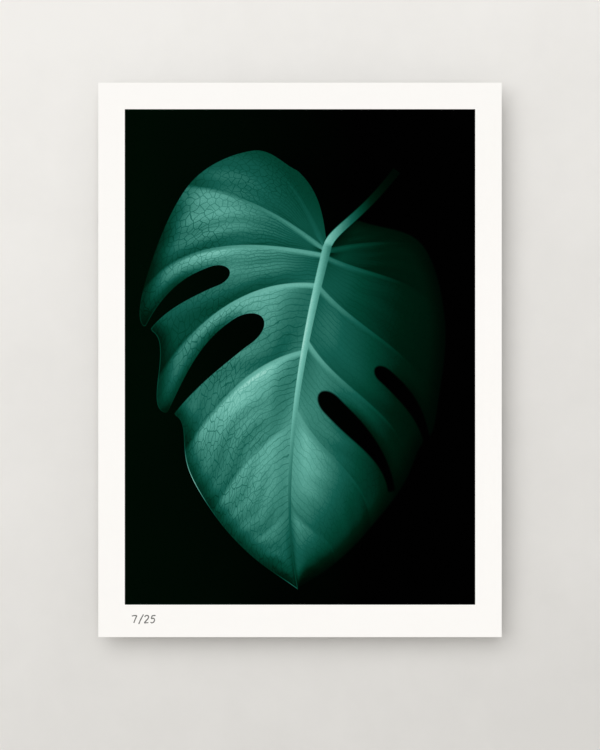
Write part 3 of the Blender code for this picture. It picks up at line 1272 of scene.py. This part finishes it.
NUMBER_STROKES = (
    ((0.0, 5.9), (2.0, 6.3), (4.2, 6.2)),
    ((4.2, 6.2), (3.0, 3.6), (1.6, 0.0)),
    ((5.8, -0.9), (7.7, 3.4), (9.8, 7.2)),
    ((10.8, 5.0), (11.8, 6.2), (13.4, 6.3), (14.2, 5.2), (13.4, 3.4), (10.6, 0.2), (12.2, 0.2),
     (14.0, 0.3)),
    ((17.2, 6.1), (16.6, 3.7), (18.4, 4.0), (19.2, 2.6), (18.4, 0.7), (16.8, 0.1), (15.8, 0.7)),
    ((17.2, 6.1), (18.6, 6.3), (20.0, 6.4)),
)


@dataclass
class Print:
    """The rag sheet and the picture printed on it."""

    side_border: float = 0.0225
    top_border: float = 0.0225
    bottom_border: float = 0.0275
    ground_lift: float = 0.00002
    leaf_lift: float = 0.00004
    rib_lift: float = 0.00006
    trim: float = 0.00008
    number_at: Pair = (-142.5, -225.5)
    pencil_width: float = 0.00095
    pencil_flatness: float = 0.05
    place: PicturePlace = field(init=False)

    def __post_init__(self) -> None:
        """Read the sheet's box and set the picture between its borders."""
        self.low, self.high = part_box("print_sheet")
        self.paper_y = self.low.y + self.rib_lift
        self.left, self.right = self.low.x + self.side_border, self.high.x - self.side_border
        self.bottom, self.top = self.low.z + self.bottom_border, self.high.z - self.top_border
        self.place = PicturePlace((self.left + self.right) / 2, self.paper_y, (self.bottom + self.top) / 2)

    def build(self) -> None:
        """Make the sheet with its trimmed edges, its black ground, the leaf and the number."""
        front = Vector((self.low.x, self.paper_y, self.low.z))
        sheet = eased_slab("rag_sheet", front, self.high, self.trim)
        finish_piece(sheet, CottonPaper().make(), ("print_sheet",))
        half = np.array([self.right - self.left, self.top - self.bottom]) / 2 / MM
        corners = np.array([[(-1, -1), (1, -1)], [(-1, 1), (1, 1)]]) * half
        ground = InkSlab("ink_ground", self.place, self.ground_lift).make(corners, {})
        finish_piece(ground, GroundInk(place=self.place).make())
        self.leaf()
        finish_piece(self.number(), None)

    def leaf(self) -> None:
        """Print the leaf's two halves, then its midrib and stalk over the seam between them."""
        ink = LeafInk(place=self.place).make()
        for half in (LEFT_HALF, RIGHT_HALF):
            slab = InkSlab(f"ink_leaf_{half.side.name.lower()}", self.place, self.leaf_lift)
            finish_piece(slab.make(*half.fields(), tipped=True), ink)
        rib = Midrib().fields(LEFT_HALF.vein_pools, RIGHT_HALF.vein_pools)
        slab = InkSlab("ink_midrib", self.place, self.rib_lift)
        finish_piece(slab.make(*rib), ink)

    def number(self) -> Mesh:
        """Write the edition number in pencil under the picture.

        Returns:
            The strokes' mesh, each a flattened tube with closed ends.
        """
        verts, edges = [], []
        for stroke in NUMBER_STROKES:
            edges += [(len(verts) + step, len(verts) + step + 1) for step in range(len(stroke) - 1)]
            verts += [(x * MM, 0.0, z * MM) for x, z in stroke]
        seed = bpy.data.meshes.new("pencil_number")
        seed.from_pydata(verts, edges, [])
        across, depth, up = self.place.point(*self.number_at, self.ground_lift / 2)
        sizes = {"Line Width": self.pencil_width, "Flatness": self.pencil_flatness, "Across": across,
                 "Depth": depth, "Up": up}
        tree, read = new_geometry_tree("pencil_strokes", sizes)
        node = partial(add_node, tree)
        line = node("GeometryNodeMeshToCurve", {0: read["Geometry"]})
        line = node("GeometryNodeCurveSplineType", {0: line}, spline_type="CATMULL_ROM")
        line = node("GeometryNodeResampleCurve", {"Curve": line, "Count": 28})
        radius = node(MATH, {0: read["Line Width"], 1: 0.5}, operation="MULTIPLY")
        lead = node("GeometryNodeCurvePrimitiveCircle", {"Resolution": 8, "Radius": radius})
        tube = node("GeometryNodeCurveToMesh", {"Curve": line, "Profile Curve": lead, "Fill Caps": True})
        pressed = node(XYZ, {0: 1.0, 1: read["Flatness"], 2: 1.0})
        at = node(XYZ, {0: read["Across"], 1: read["Depth"], 2: read["Up"]})
        laid = node("GeometryNodeTransform", {"Geometry": tube, "Translation": at, "Scale": pressed})
        return grow(seed, tree, laid, Graphite().make(), sizes)


# ---------------------------------------------------------------- the board and the sub-frame


@dataclass
class Board:
    """The rigid board behind the sheet: two lacquered aluminium skins on a sawn plastic core."""

    skin: float = 0.0003
    core_setback: float = 0.00005
    ease: float = 0.00008

    def build(self) -> None:
        """Make the two skins and the core."""
        low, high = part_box("mount_board")
        back = Vector((low.x, high.y - self.skin, low.z))
        front = Vector((high.x, low.y + self.skin, high.z))
        lacquer = BoardLacquer().make()
        for name, start, end in (("board_front_skin", low, front), ("board_back_skin", back, high)):
            skin = eased_slab(name, start, end, self.ease)
            finish_piece(skin, lacquer, ("mount_board",))
        step = Vector((self.core_setback, 0.0, self.core_setback))
        core_low = Vector((low.x, front.y, low.z)) + step
        core_high = Vector((high.x, back.y, high.z)) - step
        core = eased_slab("board_core", core_low, core_high, self.ease / 2)
        finish_piece(core, SawnCore().make(), ("mount_board",))


@dataclass
class SubFrame:
    """What holds the board off the wall: tape, rails, corner keys, grub screws and wall pads."""

    squeeze: float = 0.0004
    thread_pitch: float = 0.0007
    thread_depth: float = 0.00022
    socket_flats: float = 0.0010
    socket_depth: float = 0.0022
    drill_point: Pair = (0.0001, 0.0004)
    chamfer: float = 0.0004
    pad_edge: float = 0.0010
    pad_film: float = 0.00025
    film_inset: float = 0.0003
    pad_dish: float = 0.0003
    dish_shares: Pair = (0.72, 0.64)

    def build(self) -> None:
        """Dress or remake every piece of the sub-frame."""
        foam = FoamRubber().make()
        for side in ("top", "right", "bottom", "left"):
            node = f"{side}_foam_tape"
            finish_piece(self.strip(f"{side}_foam_strip", *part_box(node)), foam, (node,))
        self.rails()
        self.screws()
        self.pads()

    def strip(self, name: str, low: Vector, high: Vector) -> Mesh:
        """Make a foam strip, whose long sides are drawn in where the foam is squeezed.

        Args:
            name: the mesh's name.
            low: the strip's lowest corner.
            high: the strip's highest corner.

        Returns:
            The mesh.
        """
        run, across = (0, 2) if high.x - low.x > high.z - low.z else (2, 0)
        shares = (0.0, 0.2, 0.5, 0.8, 1.0)
        section = []
        for side, sign, order in ((low, 1, shares), (high, -1, shares[::-1])):
            for share in order:
                draw = self.squeeze * (1 - (2 * share - 1) ** 2)
                section.append((low.y + (high.y - low.y) * share, side[across] + sign * draw))
        rings = []
        for end in (low[run], high[run]):
            ring = [Vector((0.0, y, 0.0)) for y, _ in section]
            for at, (_, edge) in zip(ring, section):
                at[run], at[across] = end, edge
            rings.append(ring)
        return lofted(name, rings)

    def rails(self) -> None:
        """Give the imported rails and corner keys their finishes."""
        level, upright = (MillAluminium.along(run).make() for run in (Run.LEVEL, Run.UPRIGHT))
        nylon = MouldedNylon().make()
        finishes = {"top_rail": level, "bottom_rail": level, "left_rail": upright, "right_rail": upright}
        for name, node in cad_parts.items():
            finish = nylon if name.startswith("corner_key") else finishes.get(name)
            if finish is not None:
                node.data.materials.clear()
                node.data.materials.append(finish)
                LOG.info("%s: dressed in %s", name, finish.name)

    def screws(self) -> None:
        """Thread one grub screw and set a copy of it in each end of every rail."""
        names = sorted(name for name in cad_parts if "_rail_screw_" in name)
        low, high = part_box(names[0])
        point, head = low.y, high.y
        core = (high.x - low.x) / 2 - self.thread_depth
        floor = head - self.socket_depth
        drill_radius, drill_depth = self.drill_point
        rings = [(core - self.chamfer, point, 0), (core, point + self.chamfer, 0),
                 (core, head - self.chamfer, 0), (core - self.chamfer, head, 0),
                 (self.socket_flats, head, 6), (self.socket_flats, floor, 6),
                 (drill_radius, floor - drill_depth, 0)]
        sizes = {"Core Radius": core, "Pitch": self.thread_pitch, "Thread Depth": self.thread_depth,
                 "Start": point + self.chamfer * 2, "Length": head - point - self.chamfer * 4,
                 "Level Span": self.span("top_rail_screw_left", "top_rail_screw_right", 0),
                 "Level Rise": self.span("bottom_rail_screw_left", "top_rail_screw_left", 2),
                 "Upright Span": self.span("left_rail_screw_upper", "right_rail_screw_upper", 0),
                 "Upright Rise": self.span("left_rail_screw_lower", "left_rail_screw_upper", 2),
                 "Height": self.middle("top_rail_screw_left", "bottom_rail_screw_left")}
        tree, read = new_geometry_tree("grub_screw_maker", sizes)
        node = partial(add_node, tree)
        turns = node(MATH, {0: read["Length"], 1: read["Pitch"]}, operation="DIVIDE")
        helix = node("GeometryNodeCurveSpiral", {
            "Resolution": 32, "Rotations": turns, "Start Radius": read["Core Radius"],
            "End Radius": read["Core Radius"], "Height": read["Length"]})
        crest = node("GeometryNodeCurvePrimitiveCircle", {"Resolution": 4, "Radius": read["Thread Depth"]})
        thread = node("GeometryNodeCurveToMesh", {"Curve": helix, "Profile Curve": crest, "Fill Caps": True})
        start = node(XYZ, {1: read["Start"]})
        thread = node("GeometryNodeTransform", {"Geometry": thread, "Translation": start,
                                                "Rotation": (-math.pi / 2, 0.0, 0.0)})
        screw = node("GeometryNodeJoinGeometry", {0: thread})
        tree.links.new(read["Geometry"], screw.node.inputs[0])
        spots = node("GeometryNodeJoinGeometry")
        for run in ("Level", "Upright"):
            grid = self.grid(node, read[f"{run} Span"], read[f"{run} Rise"], read["Height"])
            tree.links.new(grid, spots.node.inputs[0])
        placed = node("GeometryNodeInstanceOnPoints", {"Points": spots, "Instance": screw})
        screws = grow(turned("grub_screws", rings), tree, placed, ZincPlate().make(), sizes)
        finish_piece(screws, None, tuple(names))

    def pads(self) -> None:
        """Mould one wall pad on its film of adhesive and set a copy at each packed pad."""
        names = sorted(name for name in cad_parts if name.startswith("wall_pad"))
        low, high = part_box(names[0])
        radius, seat, face = (high.x - low.x) / 2, low.y, high.y
        film = radius - self.film_inset
        rings = [(film, seat, 0), (film, seat + self.pad_film, 0), (radius, seat + self.pad_film, 0)]
        for angle in np.linspace(0, math.pi / 2, 7).tolist():
            rings.append((radius - self.pad_edge * (1 - math.cos(angle)),
                          face - self.pad_edge * (1 - math.sin(angle)), 0))
        lip, dish = self.dish_shares
        rings += [(radius * lip, face, 0), (radius * dish, face - self.pad_dish, 0)]
        sizes = {"Span": self.span("wall_pad_upper_left", "wall_pad_upper_right", 0),
                 "Rise": self.span("wall_pad_lower_left", "wall_pad_upper_left", 2),
                 "Height": self.middle("wall_pad_lower_left", "wall_pad_upper_left")}
        tree, read = new_geometry_tree("wall_pad_maker", sizes)
        node = partial(add_node, tree)
        spots = self.grid(node, read["Span"], read["Rise"], read["Height"])
        placed = node("GeometryNodeInstanceOnPoints", {"Points": spots, "Instance": read["Geometry"]})
        pads = grow(turned("wall_pads", rings, 64), tree, placed, PadRubber().make(), sizes)
        finish_piece(pads, None, tuple(names))

    @staticmethod
    def grid(node: NodeMaker, span: Socket, rise: Socket, height: Socket) -> Socket:
        """Add four points at the corners of an upright rectangle.

        Args:
            node: adds a node to the geometry tree.
            span: the rectangle's width.
            rise: its height.
            height: how high its middle is.

        Returns:
            The points.
        """
        flat = node("GeometryNodeMeshGrid", {"Size X": span, "Size Y": rise, "Vertices X": 2,
                                             "Vertices Y": 2})
        up = node(XYZ, {2: height})
        return node("GeometryNodeTransform", {"Geometry": flat, "Translation": up,
                                              "Rotation": (math.pi / 2, 0.0, 0.0)})

    @staticmethod
    def middle(first: str, second: str) -> float:
        """Return the height midway between two nodes."""
        return sum(corner.z for node in (first, second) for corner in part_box(node)) / 4

    @staticmethod
    def span(first: str, second: str, axis: int) -> float:
        """Return the distance along an axis from one node's middle to another's."""
        near, far = (sum(corner[axis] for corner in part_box(node)) / 2 for node in (first, second))
        return far - near


# ---------------------------------------------------------------- the room


@dataclass
class Studio:
    """A pale wall and floor, soft light and the camera. None of it is part of the print."""

    view_height: float = 0.6357
    lens_mm: float = 100.0
    sensor_mm: float = 36.0
    below_centre: float = 0.0128
    wall_gap: float = 0.0003
    wall_half: Pair = (0.8, 0.95)
    floor_drop: float = 0.75
    floor_half: float = 3.0
    toward_window: Triple = (-0.31, -1.0, 0.36)
    toward_back: Triple = (1.2, 2.4, 1.1)

    def build(self) -> None:
        """Set up the whole room.

        The world and the sun light the front. The area lamp lights the back, through the wall.
        """
        low, high = (Vector(corner) for corner in CAD_BOX)
        centre = (low + high) / 2
        wide, tall = self.wall_half
        y = high.y + self.wall_gap
        round_it = ((-1, -1), (1, -1), (1, 1), (-1, 1))
        corners = [(centre.x + x * wide, y, centre.z + z * tall) for x, z in round_it]
        plaster = WallPlaster(centre=centre).make()
        self.show_only_front(plaster.node_tree)
        self.backdrop("wall", corners, plaster)
        z, far = low.z - self.floor_drop, self.floor_half
        floor = Finish(name="pale_floor", low="dcdad5", roughness=0.8)
        self.backdrop("floor", [(x * far, y * far, z) for x, y in round_it], floor.make())
        self.lamp("window", "SUN", Vector(self.toward_window), centre, energy=2.08, angle=math.radians(70))
        self.lamp("back", "AREA", Vector(self.toward_back), centre, energy=52.0, size=3.4)
        world = bpy.data.worlds.new("room")
        world.use_nodes = True
        sky = world.node_tree.nodes["Background"].inputs
        sky["Color"].default_value = srgb("fbfbfa")
        sky["Strength"].default_value = 0.50
        bpy.context.scene.world = world
        self.camera(centre, low.y)
        bpy.context.scene.view_settings.view_transform = "Standard"

    @staticmethod
    def backdrop(name: str, corners: list[Triple], material: Material) -> None:
        """Stage a flat backdrop.

        Args:
            name: its name.
            corners: its four corners in order.
            material: its material.
        """
        mesh = bpy.data.meshes.new(name)
        mesh.from_pydata(corners, [], [(0, 1, 2, 3)])
        mesh.materials.append(material)
        backdrop = bpy.data.objects.new(name, mesh)
        bpy.context.scene.collection.objects.link(backdrop)

    @staticmethod
    def show_only_front(tree: Tree) -> None:
        """Clear a wall's back, and let light pass it to the print's back.

        Only what meets the wall first, or after one bounce in shadow, passes it.

        Args:
            tree: the wall's material tree.
        """
        node = partial(add_node, tree)
        path = node("ShaderNodeLightPath").node.outputs
        early = node(MATH, {0: path["Diffuse Depth"], 1: path["Is Shadow Ray"]}, operation="ADD")
        early = node(MATH, {0: early, 1: 1.5}, operation="LESS_THAN")
        early = node(MATH, {0: early, 1: path["Is Camera Ray"]}, operation="SUBTRACT")
        behind = node("ShaderNodeNewGeometry", None, "Backfacing")
        facing = node(MATH, {0: behind, 1: early}, operation="MAXIMUM")
        plaster = tree.nodes["Principled BSDF"].outputs[0]
        clear = node("ShaderNodeBsdfTransparent")
        mixed = node("ShaderNodeMixShader", {0: facing, 1: plaster, 2: clear})
        tree.links.new(mixed, tree.nodes["Material Output"].inputs["Surface"])

    @staticmethod
    def lamp(name: str, kind: str, away: Vector, aim: Vector, **settings: float) -> None:
        """Make a light that faces a point.

        Args:
            name: the light's name.
            kind: SUN or AREA.
            away: where it stands, from the point that it faces.
            aim: that point.
            settings: its strength and size, by their names in Blender.
        """
        data = bpy.data.lights.new(name, kind)
        for key, value in settings.items():
            setattr(data, key, value)
        lamp = bpy.data.objects.new(name, data)
        lamp.location = aim + away
        lamp.rotation_euler = (-away).to_track_quat("-Z", "Y").to_euler()
        bpy.context.scene.collection.objects.link(lamp)

    def camera(self, centre: Vector, front: float) -> None:
        """Set the camera square to the sheet, so that view_height of it fills the picture's height.

        Args:
            centre: the print's middle.
            front: the y of its front.
        """
        data = bpy.data.cameras.new("camera")
        data.lens = self.lens_mm
        data.sensor_width = self.sensor_mm
        distance = self.view_height / 2 * self.lens_mm / (self.sensor_mm / 2)
        camera = bpy.data.objects.new("camera", data)
        camera.location = (centre.x, front - distance, centre.z - self.below_centre)
        camera.rotation_euler = (math.pi / 2, 0.0, 0.0)
        bpy.context.scene.collection.objects.link(camera)
        bpy.context.scene.camera = camera


def main() -> None:
    """Set up the room and dress the print, logging each piece's faces and each part as it is built."""
    logging.basicConfig(level=logging.INFO, format="%(name)s: %(message)s")
    for part in (Studio(), Print(), Board(), SubFrame()):
        part.build()
        LOG.info("%s built", type(part).__name__)


if __name__ == "__main__":
    main()
